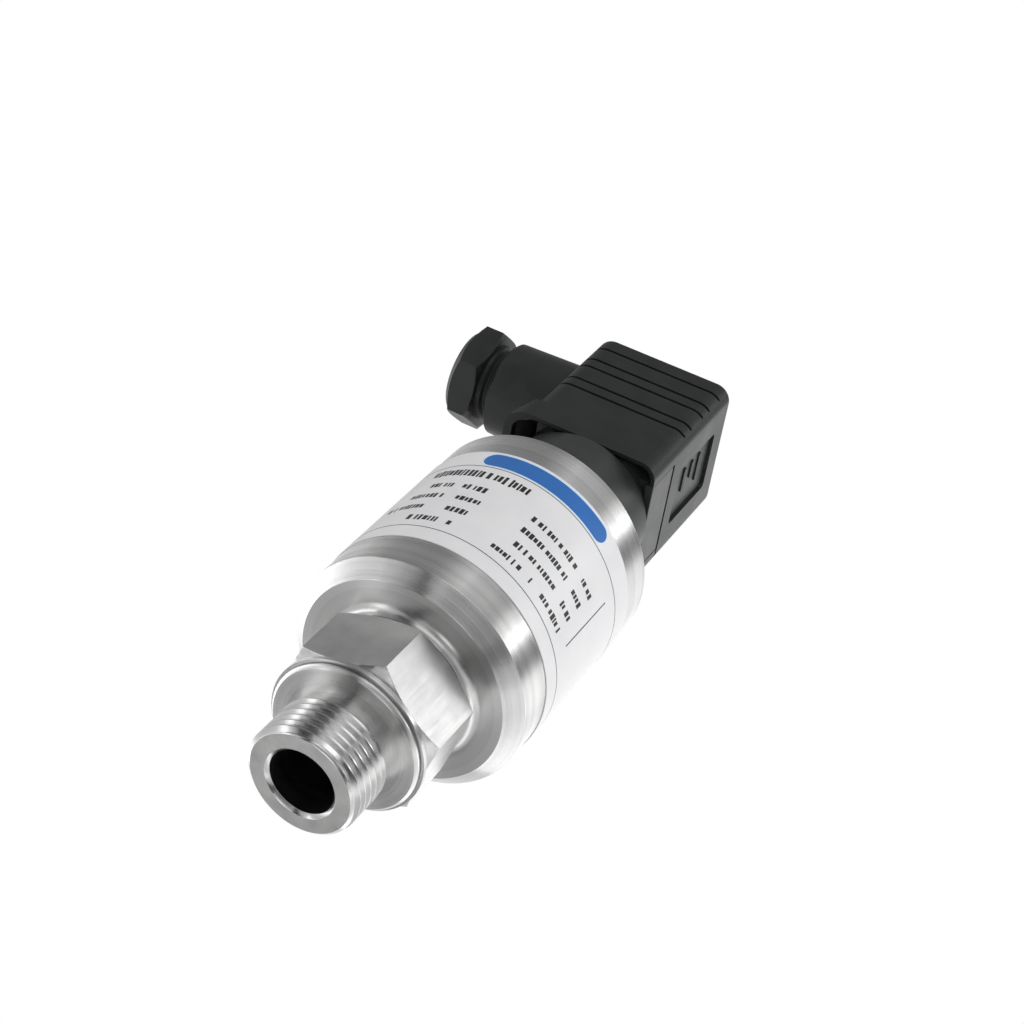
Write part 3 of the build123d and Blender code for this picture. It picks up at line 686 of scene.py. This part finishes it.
@dataclass
class Port:
    """Stainless port: cut thread, collar, milled hexagon and the front of the body."""

    finishes: Finishes
    thread_radius: float = 10.0 * MM
    thread_pitch: float = 1.5 * MM
    thread_depth: float = 0.86 * MM
    thread_end: float = -2.3 * MM
    thread_turns: int = 8
    hexagon_half_width: float = 13.5 * MM
    hexagon_bottom: float = 2.2 * MM
    hexagon_top: float = 15.7 * MM
    edge_width: float = 0.16 * MM
    tip_height: float = -12.2 * MM
    tip_band: float = 0.1 * MM
    bore_radius: float = 5.9 * MM
    wall_margin: float = 0.05 * MM
    upright_limit: float = 0.02
    level_limit: float = 0.98

    def build(self) -> None:
        """Model the port, dress it and put it on the body."""
        port = Bench.copy_of("pressure_port", "dressed_port")
        Bench.ease_edges(port, self.edge_width)
        cutter = ThreadCutter(
            self.thread_radius, self.thread_pitch, self.thread_depth,
            self.thread_end - self.thread_turns * self.thread_pitch, self.thread_turns,
        )
        Bench.cut(port, cutter.make())
        Bench.point_outwards(port)
        Bench.smooth(port)
        self._dress(port)
        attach(port, Body.TRANSMITTER.value)
        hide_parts("pressure_port")
        log.info("port: %d faces", len(port.data.polygons))

    def _dress(self, port: bpy.types.Object) -> None:
        """Give the hexagon's flats and the thread their own finishes, the tip a darker faced
        steel that is partly painted shade, and the bore a near-black steel that is painted
        shade.

        Args:
            port: The cut port.
        """
        kit = self.finishes
        for finish in (kit.steel, kit.milled, kit.thread_steel, kit.faced_with_painted_shade, kit.bore_painted_shade):
            port.data.materials.append(finish)
        for face in port.data.polygons:
            face.material_index = self._finish_of(face)

    def _finish_of(self, face: bpy.types.MeshPolygon) -> PortFace:
        """Choose a face's finish by its place and the way it faces.

        Args:
            face: A face of the port.

        Returns:
            The material slot.
        """
        middle = face.center
        lean = abs(face.normal.z)
        upright = lean < self.upright_limit
        reach = middle.x * face.normal.x + middle.y * face.normal.y
        in_hexagon = self.hexagon_bottom < middle.z < self.hexagon_top
        on_flat = abs(reach - self.hexagon_half_width) < self.wall_margin
        if upright and in_hexagon and on_flat:
            return PortFace.MILLED
        # Faces inside the bore take the near-black painted shade.
        if upright and reach < 0.0 and -reach < self.bore_radius + self.wall_margin:
            return PortFace.BORE
        # The flat tip takes the darker faced steel, partly painted shade.
        if middle.z < self.tip_height + self.tip_band and lean > self.level_limit:
            return PortFace.TIP
        if middle.z < self.thread_end and lean < self.level_limit:
            return PortFace.THREAD
        return PortFace.TURNED


@dataclass
class Casing:
    """Stainless tube behind the port and the round neck of the plug."""

    finishes: Finishes
    tube_edge: float = 0.12 * MM
    neck_edge: float = 0.15 * MM

    def build(self) -> None:
        """Ease the visible edges and dress the casing."""
        for node, edge, finish, slot in (
            ("body_tube", self.tube_edge, self.finishes.steel, "stainless_steel"),
            ("plug_base", self.neck_edge, self.finishes.inner_plastic, "black_plastic"),
        ):
            piece = Bench.copy_of(node, f"dressed_{node}")
            Bench.ease_edges(piece, edge)
            Bench.smooth(piece)
            piece.data.materials.append(finish)
            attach(piece, Body.TRANSMITTER.value)
            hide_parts(node)
            log.info("%s: %d faces", piece.name, len(piece.data.polygons))


@dataclass(frozen=True)
class Strip:
    """A flat printed shape on the label: degrees about the axis from +X, heights up it."""

    from_angle: float
    to_angle: float
    low: float
    high: float
    round_ends: bool = False


@dataclass
class Print:
    """Print on the label: a blue band, two thin rings, a thin rule and rows of marks."""

    finishes: Finishes
    ink_thickness: float = 0.012 * MM
    bend_step: float = 0.9 * MM
    bend_middle: float = -90.0
    end_roundness: float = 0.495
    end_steps: int = 10
    band: Strip = Strip(-111.0, -41.8, 52.1 * MM, 55.9 * MM, True)
    outline_width: float = 0.32 * MM
    ring_heights: tuple[float, float] = (51.55 * MM, 30.45 * MM)
    ring_width: float = 0.16 * MM
    seam_angle: float = 100.0
    seam_half_gap: float = 1.0
    rule: Strip = Strip(-19.3, -18.7, 34.2 * MM, 48.3 * MM)
    rows: tuple[Strip, ...] = (
        Strip(-130.5, -79.0, 47.8 * MM, 50.0 * MM),
        Strip(-125.0, -113.0, 43.7 * MM, 45.2 * MM),
        Strip(-108.0, -94.0, 43.7 * MM, 45.2 * MM),
        Strip(-130.0, -111.0, 40.0 * MM, 41.5 * MM),
        Strip(-106.0, -94.0, 40.0 * MM, 41.5 * MM),
        Strip(-137.0, -116.0, 36.3 * MM, 37.8 * MM),
        Strip(-105.5, -95.0, 36.3 * MM, 37.8 * MM),
        Strip(-119.0, -104.0, 32.4 * MM, 34.0 * MM),
        Strip(-99.0, -96.5, 32.4 * MM, 34.0 * MM),
        Strip(-72.0, -42.0, 43.4 * MM, 44.8 * MM),
        Strip(-37.0, -27.5, 43.4 * MM, 44.8 * MM),
        Strip(-72.0, -43.0, 39.8 * MM, 41.2 * MM),
        Strip(-37.0, -27.5, 39.8 * MM, 41.2 * MM),
        Strip(-70.0, -43.0, 36.0 * MM, 37.4 * MM),
        Strip(-37.0, -27.5, 36.0 * MM, 37.4 * MM),
        Strip(-76.5, -60.0, 32.4 * MM, 33.8 * MM),
        Strip(-54.5, -52.5, 32.4 * MM, 33.8 * MM),
        Strip(-46.5, -27.5, 32.4 * MM, 33.8 * MM),
    )
    row_seed: int = 7
    mark_widths: tuple[float, float] = (0.8, 2.1)
    mark_heights: tuple[float, float] = (0.7, 1.08)
    mark_gaps: tuple[float, ...] = (0.5, 0.6, 0.8, 1.9)

    def build(self) -> None:
        """Print the label."""
        band = self._strip(self.band, "print_band", layer=2)
        self._finish(band, self.finishes.blue_ink)
        grow = math.degrees(self.outline_width / self._radius())
        edge = Strip(
            self.band.from_angle - grow, self.band.to_angle + grow,
            self.band.low - self.outline_width, self.band.high + self.outline_width, True,
        )
        self._finish(self._strip(edge, "print_band_edge"), self.finishes.pale_ink)
        first = self.seam_angle - 360.0 + self.seam_half_gap
        last = self.seam_angle - self.seam_half_gap
        for name, height in zip(("print_upper_ring", "print_lower_ring"), self.ring_heights):
            low = height - self.ring_width / 2
            ring = self._strip(Strip(first, last, low, low + self.ring_width), name)
            self._finish(ring, self.finishes.dark_ink)
        self._finish(self._strip(self.rule, "print_rule"), self.finishes.dark_ink)
        self._finish(self._rows(), self.finishes.dark_ink)

    def _radius(self) -> float:
        """Outer radius of the label film."""
        low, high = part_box("label_wrap")
        return (high.x - low.x) / 2

    def _rows(self) -> bpy.types.Object:
        """Model the rows of short dark marks.

        Returns:
            All the marks as one piece.
        """
        source = random.Random(self.row_seed)
        marks = []
        for row in self.rows:
            at = row.from_angle
            while at < row.to_angle - self.mark_widths[0]:
                width = min(source.uniform(*self.mark_widths), row.to_angle - at)
                tall = source.uniform(*self.mark_heights) * (row.high - row.low)
                low = (row.low + row.high) / 2 - tall / 2
                marks.append(self._strip(Strip(at, at + width, low, low + tall), "mark"))
                at += width + source.choice(self.mark_gaps)
        return Bench.join(marks, "print_rows")

    def _strip(self, shape: Strip, name: str, layer: int = 1) -> bpy.types.Object:
        """Model one flat shape and wrap it round the label.

        Args:
            shape: Where the shape lies.
            name: Name of the piece.
            layer: Thickness in layers of ink, so that the upper ink shows.

        Returns:
            The wrapped shape.
        """
        radius = self._radius()
        length = math.radians(shape.to_angle - shape.from_angle) * radius
        height = shape.high - shape.low
        strip = Bench.add_plane(name, rotation=(math.pi / 2, 0.0, 0.0))
        strip.scale = (length, height, 1.0)
        Bench.settle(strip)
        Bench.open_mesh()
        if shape.round_ends:
            bpy.ops.mesh.bevel(
                offset=height * self.end_roundness, offset_type="OFFSET",
                segments=self.end_steps, affect="VERTICES",
            )
        cuts = max(1, round(length / self.bend_step))
        for index in range(1, cuts):
            bpy.ops.mesh.select_all(action="SELECT")
            at = length * (index / cuts - 0.5)
            bpy.ops.mesh.bisect(plane_co=(at, 0.0, 0.0), plane_no=(1.0, 0.0, 0.0))
        Bench.close_mesh()
        thick = strip.modifiers.new("ink", "SOLIDIFY")
        thick.thickness = self.ink_thickness * layer
        thick.offset = 1.0
        bend = strip.modifiers.new("wrap", "SIMPLE_DEFORM")
        bend.deform_method = "BEND"
        bend.deform_axis = "Z"
        bend.angle = length / radius
        Bench.finish_modifiers(strip)
        middle = math.radians((shape.from_angle + shape.to_angle) / 2 - self.bend_middle)
        strip.data.transform(Matrix.Translation((0.0, -radius, 0.0)))
        strip.data.transform(Matrix.Rotation(middle, 4, "Z"))
        strip.data.transform(Matrix.Translation((0.0, 0.0, shape.low + height / 2)))
        Bench.point_outwards(strip)
        return strip

    def _finish(self, piece: bpy.types.Object, ink: bpy.types.Material) -> None:
        """Ink a printed shape and put it on the body.

        Args:
            piece: The printed shape.
            ink: Its ink.
        """
        Bench.smooth(piece)
        piece.data.materials.clear()
        piece.data.materials.append(ink)
        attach(piece, Body.TRANSMITTER.value)
        log.info("%s: %d faces", piece.name, len(piece.data.polygons))


@dataclass
class Plug:
    """Moulded right-angle plug with its terminal block and plain raised bars; its end face
    carries painted light.
    """

    finishes: Finishes
    edge_width: float = 0.3 * MM
    block_edge: float = 0.2 * MM
    bar_height: float = 0.35 * MM
    bar_radius: float = 0.55 * MM
    bar_roundness: float = 0.99
    bar_steps: int = 6
    bars: tuple[Triple, ...] = (
        (-3.9 * MM, 2.6 * MM, 103.4 * MM),
        (-3.9 * MM, 0.2 * MM, 100.2 * MM),
        (-3.9 * MM, 1.6 * MM, 97.0 * MM),
    )
    panel_depth: float = 0.8 * MM
    panel_start: float = 13.0 * MM
    painted_light_slot: int = 1
    facing_limit: float = 0.98

    def build(self) -> None:
        """Ease the moulding's edges, add the bars and dress the plug, with painted light on its
        end face.
        """
        housing = Bench.copy_of("plug_housing", "dressed_plug_housing")
        Bench.ease_edges(housing, self.edge_width)
        Bench.smooth(housing)
        housing.data.materials.append(self.finishes.housing)
        housing.data.materials.append(self.finishes.end_face_painted_light)
        # Faces turned to +X at the end take the lighter plastic: painted light.
        for face in housing.data.polygons:
            if face.normal.x > self.facing_limit and face.center.x > self.panel_start:
                face.material_index = self.painted_light_slot
        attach(housing, Body.TRANSMITTER.value)
        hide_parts("plug_housing")
        block = Bench.copy_of("terminal_insert", "dressed_terminal_insert")
        Bench.ease_edges(block, self.block_edge)
        Bench.smooth(block)
        block.data.materials.append(self.finishes.inner_plastic)
        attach(block, Body.TRANSMITTER.value)
        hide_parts("terminal_insert")
        self._raised_bars()
        log.info("plug: %d and %d faces", len(housing.data.polygons), len(block.data.polygons))

    def _raised_bars(self) -> None:
        """Model three plain bars on the floor of the end panel."""
        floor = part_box("plug_housing")[1].x - self.panel_depth
        made = []
        for start, end, height in self.bars:
            bar = Bench.add_plane("bar", rotation=(0.0, math.pi / 2, 0.0))
            bar.location = (floor, (start + end) / 2, height)
            bar.scale = (2 * self.bar_radius, end - start, 1.0)
            Bench.settle(bar)
            Bench.open_mesh()
            bpy.ops.mesh.bevel(
                offset=self.bar_radius * self.bar_roundness, offset_type="OFFSET",
                segments=self.bar_steps, affect="VERTICES",
            )
            Bench.close_mesh()
            thick = bar.modifiers.new("raised", "SOLIDIFY")
            thick.thickness = self.bar_height
            thick.offset = 1.0
            Bench.finish_modifiers(bar)
            Bench.ease_edges(bar, self.bar_height / 3)
            Bench.point_outwards(bar)
            made.append(bar)
        joined = Bench.join(made, "raised_bars")
        Bench.smooth(joined)
        joined.data.materials.append(self.finishes.housing)
        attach(joined, Body.TRANSMITTER.value)
        log.info("raised bars: %d faces", len(joined.data.polygons))


@dataclass
class Gland:
    """Compression screw of the cable gland, with its thread cut."""

    finishes: Finishes
    edge_width: float = 0.22 * MM
    shank_radius: float = 7.6 * MM
    thread_pitch: float = 1.41 * MM
    thread_depth: float = 0.62 * MM
    thread_steps: int = 60
    thread_lead: float = 0.6
    head_reach: float = 31.0 * MM
    shank_reach: float = 22.6 * MM

    def build(self) -> None:
        """Cut the thread, ease the edges and dress the nut."""
        low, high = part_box("gland_nut")
        axis_height = (low.z + high.z) / 2
        nut = Bench.copy_of("gland_nut", "dressed_gland_nut")
        Bench.ease_edges(nut, self.edge_width)
        turns = int((self.head_reach - self.shank_reach) / self.thread_pitch)
        lead = self.thread_lead * self.thread_pitch
        start = self.head_reach - lead - turns * self.thread_pitch
        groove = ThreadCutter(
            self.shank_radius, self.thread_pitch, self.thread_depth, start, turns,
            self.thread_steps,
        ).make()
        groove.data.transform(Matrix.Rotation(-math.pi / 2, 4, "Y"))
        groove.data.transform(Matrix.Translation((0.0, 0.0, axis_height)))
        Bench.cut(nut, groove)
        Bench.point_outwards(nut)
        Bench.smooth(nut)
        nut.data.materials.append(self.finishes.housing)
        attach(nut, Body.SCREW.value)
        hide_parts("gland_nut")
        log.info("gland nut: %d faces", len(nut.data.polygons))


@dataclass
class Inside:
    """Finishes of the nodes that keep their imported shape."""

    finishes: Finishes

    def build(self) -> None:
        """Give each kept node its finish."""
        kit = self.finishes
        groups = (
            (kit.steel, ("sensor_cell", "sensor_diaphragm", "cell_retainer", "end_cap")),
            (kit.plated, ("board_screws", "base_nut", "terminal_screws", "centre_screw")),
            (kit.washer, ("gland_washer",)),
            (kit.brass, ("sensor_pins", "board_standoffs", "contact_pins", "earth_pin",
                         "thread_bush", "socket_contacts")),
            (kit.rubber, ("body_seal", "sensor_seal", "cap_seal", "base_seal", "flat_gasket",
                          "screw_seal", "gland_grommet")),
            (kit.board, ("amplifier_board",)),
            (kit.chip, ("amplifier_chip",)),
            (kit.can, ("board_capacitors",)),
            (kit.inner_plastic, ("wire_header",)),
            (kit.wire, ("signal_wires",)),
            (kit.film, ("label_wrap",)),
        )
        for finish, names in groups:
            for name in names:
                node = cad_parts[name]
                node.data.materials.clear()
                node.data.materials.append(finish)
        log.info("kept nodes: %d", sum(len(names) for _, names in groups))


@dataclass(frozen=True)
class Softbox:
    """A soft lamp far off, aimed at the object."""

    name: str
    azimuth: float
    elevation: float
    width: float
    height: float
    radiance: float
    distance: float = 1.2

    def place(self, centre: Vector) -> None:
        """Hang the lamp.

        Args:
            centre: The point that it faces.
        """
        lamp = bpy.data.lights.new(self.name, "AREA")
        lamp.shape = "RECTANGLE"
        lamp.size = self.width
        lamp.size_y = self.height
        lamp.energy = self.radiance * math.pi * self.width * self.height
        lamp_object = bpy.data.objects.new(self.name, lamp)
        bpy.context.scene.collection.objects.link(lamp_object)
        lamp_object.visible_camera = False
        lamp_object.matrix_world = aimed(centre, self.azimuth, self.elevation, self.distance)


@dataclass(frozen=True)
class Flag:
    """A dark or bright board off to one side, seen only in reflections."""

    name: str
    azimuth: float
    elevation: float
    width: float
    height: float
    level: float
    distance: float = 1.6

    def place(self, centre: Vector) -> None:
        """Hang the board.

        Args:
            centre: The point that it faces.
        """
        board = Bench.add_plane(self.name)
        board.matrix_world = aimed(
            centre, self.azimuth, self.elevation, self.distance
        ) @ Matrix.Diagonal((self.width, self.height, 1.0, 1.0))
        light_board(board, self.level)


@dataclass(frozen=True)
class FloorStrip:
    """A dark or bright strip lying just above the floor, seen only in reflections."""

    name: str
    angle: float
    start: float
    end: float
    width: float
    level: float
    lift: float = 0.006

    def place(self, middle: tuple[float, float], floor_height: float) -> None:
        """Lay the strip out from the point of the floor that the front faces reflect.

        Args:
            middle: That point, in metres.
            floor_height: Height of the floor.
        """
        turn = math.radians(self.angle)
        reach = (self.start + self.end) / 2
        length = self.end - self.start
        strip = Bench.add_plane(self.name)
        strip.matrix_world = (
            Matrix.Translation((
                middle[0] + reach * math.cos(turn),
                middle[1] + reach * math.sin(turn),
                floor_height + self.lift,
            ))
            @ Matrix.Rotation(turn, 4, "Z")
            @ Matrix.Diagonal((length, self.width, 1.0, 1.0))
        )
        light_board(strip, self.level)


def light_board(board: bpy.types.Object, level: float) -> None:
    """Give a board an even glow and show it to reflections alone.

    Args:
        board: The board's plane.
        level: Its brightness, where 1 is white.
    """
    shader = Shader.start(board.name)
    nodes = shader.material.node_tree.nodes
    nodes.remove(shader.surface)
    glow = shader.node("ShaderNodeEmission")
    glow.inputs["Color"].default_value = WHITE
    glow.inputs["Strength"].default_value = level
    shader.link(glow.outputs["Emission"], nodes["Material Output"].inputs["Surface"])
    board.data.materials.append(shader.material)
    board.visible_camera = False
    board.visible_diffuse = False
    board.visible_shadow = False
    board.visible_transmission = False


def aimed(centre: Vector, azimuth: float, elevation: float, distance: float) -> Matrix:
    """Place something at a direction from the centre, with its -Z side facing the centre.

    Args:
        centre: Point to face.
        azimuth: Direction about Z from +X, in degrees.
        elevation: Height above the horizontal, in degrees.
        distance: Distance from the centre, in metres.

    Returns:
        The placement.
    """
    turn, lift = math.radians(azimuth), math.radians(elevation)
    away = Vector((
        math.cos(turn) * math.cos(lift), math.sin(turn) * math.cos(lift), math.sin(lift)
    ))
    facing = away.to_track_quat("Z", "Y").to_matrix().to_4x4()
    return Matrix.Translation(centre + away * distance) @ facing


@dataclass
class Studio:
    """Camera, pale floor, soft lamps and the boards that the steel reflects."""

    camera_place: Triple = (120.41 * MM, -241.12 * MM, -228.05 * MM)
    camera_right: Triple = (0.86536, -0.13461, 0.48274)
    camera_up: Triple = (-0.38756, -0.79044, 0.47433)
    focal_length_px: float = 2235.5
    picture_px: float = 1024.0
    sensor_width: float = 36.0
    view_range: tuple[float, float] = (0.01, 50.0)
    floor_height: float = -0.27
    floor_size: float = 12.0
    fade_start: float = 0.25
    fade_end: float = 0.85
    world_level: float = 0.72
    softboxes: tuple[Softbox, ...] = (
        Softbox("key", 20.0, 12.0, 0.9, 1.1, 1.15),
        Softbox("back", 100.0, 40.0, 1.2, 0.9, 0.58),
        Softbox("strip", -18.0, 47.0, 0.16, 1.1, 2.8),
        Softbox("front_fill", -75.0, 5.0, 0.9, 0.5, 1.3),
    )
    flags: tuple[Flag, ...] = (
        Flag("side_board", -132.0, 40.0, 2.2, 3.0, 0.33),
        Flag("left_high_board", 148.0, 52.0, 1.3, 0.8, 0.42, 1.3),
        Flag("front_board", -60.0, 45.0, 0.9, 2.4, 0.5),
        Flag("slit_board", 3.0, 45.0, 0.3, 2.2, 0.12, 1.1),
        Flag("dark_board", -112.0, -16.0, 0.3, 0.6, 0.02, 0.7),
        Flag("low_right_board", 50.0, -8.0, 1.3, 0.7, 2.1, 1.1),
        Flag("low_left_board", 172.0, -2.0, 2.1, 0.9, 2.7, 1.3),
    )
    strip_middle: tuple[float, float] = (-0.109, 0.206)
    floor_strips: tuple[FloorStrip, ...] = (
        FloorStrip("dark_strip", -90.0, -0.2, 0.62, 0.09, 0.02),
        FloorStrip("right_dark_strip", -36.0, 0.1, 0.75, 0.13, 0.08),
        FloorStrip("middle_strip", -60.0, 0.38, 0.85, 0.34, 0.16),
        FloorStrip("left_bright_strip", -119.0, 0.04, 0.45, 0.07, 2.2),
        FloorStrip("right_bright_strip", -8.0, 0.04, 0.55, 0.09, 1.4),
        FloorStrip("slim_bright_strip", -61.0, 0.0, 0.33, 0.075, 2.3),
    )

    def build(self) -> None:
        """Set the whole studio."""
        self._camera()
        low, high = cad_box
        centre = (low + high) / 2
        for softbox in self.softboxes:
            softbox.place(centre)
        for flag in self.flags:
            flag.place(centre)
        for strip in self.floor_strips:
            strip.place(self.strip_middle, self.floor_height)
        self._floor()
        self._world()
        bpy.context.scene.view_settings.view_transform = "Standard"
        log.info(
            "studio: %d lamps, %d boards", len(self.softboxes),
            len(self.flags) + len(self.floor_strips),
        )

    def _camera(self) -> None:
        """Set the camera at the photograph's viewpoint."""
        lens = bpy.data.cameras.new("camera")
        lens.sensor_width = self.sensor_width
        lens.lens = self.focal_length_px / self.picture_px * self.sensor_width
        lens.clip_start, lens.clip_end = self.view_range
        camera = bpy.data.objects.new("camera", lens)
        bpy.context.scene.collection.objects.link(camera)
        right, up = Vector(self.camera_right), Vector(self.camera_up)
        turn = Matrix((right, up, right.cross(up))).transposed().to_4x4()
        camera.matrix_world = Matrix.Translation(self.camera_place) @ turn
        bpy.context.scene.camera = camera

    def _floor(self) -> None:
        """Lay a pale floor below the camera."""
        floor = Bench.add_plane(
            "floor", self.floor_size, location=(0.0, 0.0, self.floor_height)
        )
        paint = Moulded(
            "floor_paint", (0.78, 0.78, 0.78), (0.8, 0.8, 0.8), 0.8,
            grain_scale=90.0, grain_depth=0.0, gloss=0.0,
        )
        floor.data.materials.append(self._fade_to_white(paint.make()))

    def _fade_to_white(self, paint: bpy.types.Material) -> bpy.types.Material:
        """Let the camera see the floor turn white away from the object.

        Args:
            paint: The floor's paint, which still shows the shadow near the object.

        Returns:
            The same material.
        """
        shader = Shader(paint)
        length = shader.node("ShaderNodeVectorMath", operation="LENGTH")
        shader.link(shader.place(), length.inputs[0])
        far = shader.node("ShaderNodeMapRange", interpolation_type="SMOOTHSTEP")
        far.inputs["From Min"].default_value = self.fade_start
        far.inputs["From Max"].default_value = self.fade_end
        shader.link(length.outputs["Value"], far.inputs["Value"])
        rays = shader.node("ShaderNodeLightPath")
        seen = shader.node("ShaderNodeMath", operation="MULTIPLY")
        shader.link(far.outputs["Result"], seen.inputs[0])
        shader.link(rays.outputs["Is Camera Ray"], seen.inputs[1])
        white = shader.node("ShaderNodeEmission")
        mix = shader.node("ShaderNodeMixShader")
        shader.link(seen.outputs["Value"], mix.inputs["Fac"])
        shader.link(shader.surface.outputs["BSDF"], mix.inputs[1])
        shader.link(white.outputs["Emission"], mix.inputs[2])
        output = paint.node_tree.nodes["Material Output"]
        shader.link(mix.outputs["Shader"], output.inputs["Surface"])
        return paint

    def _world(self) -> None:
        """Light softly from all round, and show white behind the object."""
        world = bpy.data.worlds.new("studio")
        bpy.context.scene.world = world
        world.use_nodes = True
        tree = world.node_tree
        light = tree.nodes["Background"]
        light.inputs["Color"].default_value = WHITE
        light.inputs["Strength"].default_value = self.world_level
        white = tree.nodes.new("ShaderNodeBackground")
        white.inputs["Color"].default_value = WHITE
        rays = tree.nodes.new("ShaderNodeLightPath")
        seen = tree.nodes.new("ShaderNodeMath")
        seen.operation = "MAXIMUM"
        either = tree.nodes.new("ShaderNodeMath")
        either.operation = "MAXIMUM"
        mix = tree.nodes.new("ShaderNodeMixShader")
        for source, target in (
            (rays.outputs["Is Camera Ray"], seen.inputs[0]),
            (rays.outputs["Is Glossy Ray"], seen.inputs[1]),
            (seen.outputs["Value"], either.inputs[0]),
            (rays.outputs["Is Transmission Ray"], either.inputs[1]),
            (either.outputs["Value"], mix.inputs["Fac"]),
            (light.outputs["Background"], mix.inputs[1]),
            (white.outputs["Background"], mix.inputs[2]),
            (mix.outputs["Shader"], tree.nodes["World Output"].inputs["Surface"]),
        ):
            tree.links.new(source, target)


def main() -> None:
    """Build each sub-assembly in order."""
    logging.basicConfig(level=logging.INFO, format="%(name)s %(message)s")
    finishes = Finishes()
    Inside(finishes).build()
    Port(finishes).build()
    Casing(finishes).build()
    Print(finishes).build()
    Plug(finishes).build()
    Gland(finishes).build()
    Studio().build()


if __name__ == "__main__":
    main()
